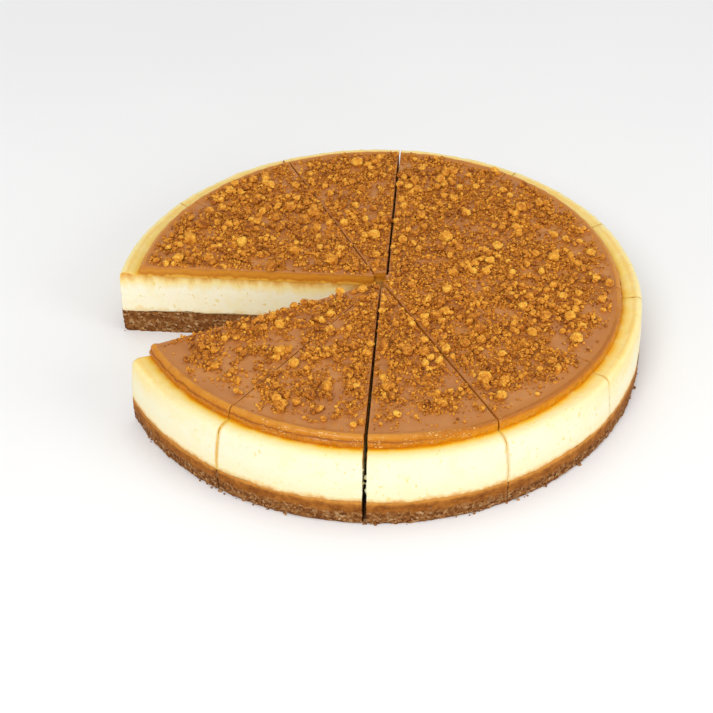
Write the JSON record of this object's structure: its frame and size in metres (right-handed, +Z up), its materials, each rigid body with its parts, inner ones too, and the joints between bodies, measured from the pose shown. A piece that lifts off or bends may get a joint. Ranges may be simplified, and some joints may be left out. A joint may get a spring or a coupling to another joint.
{
  "type": "baked cheesecake",
  "caption": "Round baked cheesecake on a biscuit base with a caramel layer and crumbs, cut in wedges, with one wedge taken out.",
  "frame": {"origin": "centre of the round cake's underside, on the surface it stands on", "axes": "+Z up; -Y is the front, and the place of the missing wedge opens towards -X"},
  "size_m": [0.2536, 0.254, 0.0405],
  "materials": {
    "biscuit_base": "matte",
    "cheese_filling": "satin",
    "caramel_topping": "satin",
    "biscuit_crumbs": "matte"
  },
  "bodies": {
    "root": {"slice_01_biscuit_base": "biscuit_base", "slice_01_cheese_filling": "cheese_filling", "slice_01_caramel_topping": "caramel_topping", "slice_02_biscuit_base": "biscuit_base", "slice_02_cheese_filling": "cheese_filling", "slice_02_caramel_topping": "caramel_topping", "slice_03_biscuit_base": "biscuit_base", "slice_03_cheese_filling": "cheese_filling", "slice_03_caramel_topping": "caramel_topping", "slice_04_biscuit_base": "biscuit_base", "slice_04_cheese_filling": "cheese_filling", "slice_04_caramel_topping": "caramel_topping", "slice_05_biscuit_base": "biscuit_base", "slice_05_cheese_filling": "cheese_filling", "slice_05_caramel_topping": "caramel_topping", "slice_06_biscuit_base": "biscuit_base", "slice_06_cheese_filling": "cheese_filling", "slice_06_caramel_topping": "caramel_topping", "slice_07_biscuit_base": "biscuit_base", "slice_07_cheese_filling": "cheese_filling", "slice_07_caramel_topping": "caramel_topping", "slice_08_biscuit_base": "biscuit_base", "slice_08_cheese_filling": "cheese_filling", "slice_08_caramel_topping": "caramel_topping", "slice_09_biscuit_base": "biscuit_base", "slice_09_cheese_filling": "cheese_filling", "slice_09_caramel_topping": "caramel_topping", "slice_10_biscuit_base": "biscuit_base", "slice_10_cheese_filling": "cheese_filling", "slice_10_caramel_topping": "caramel_topping", "slice_11_biscuit_base": "biscuit_base", "slice_11_cheese_filling": "cheese_filling", "slice_11_caramel_topping": "caramel_topping"}
  },
  "joints": []
}
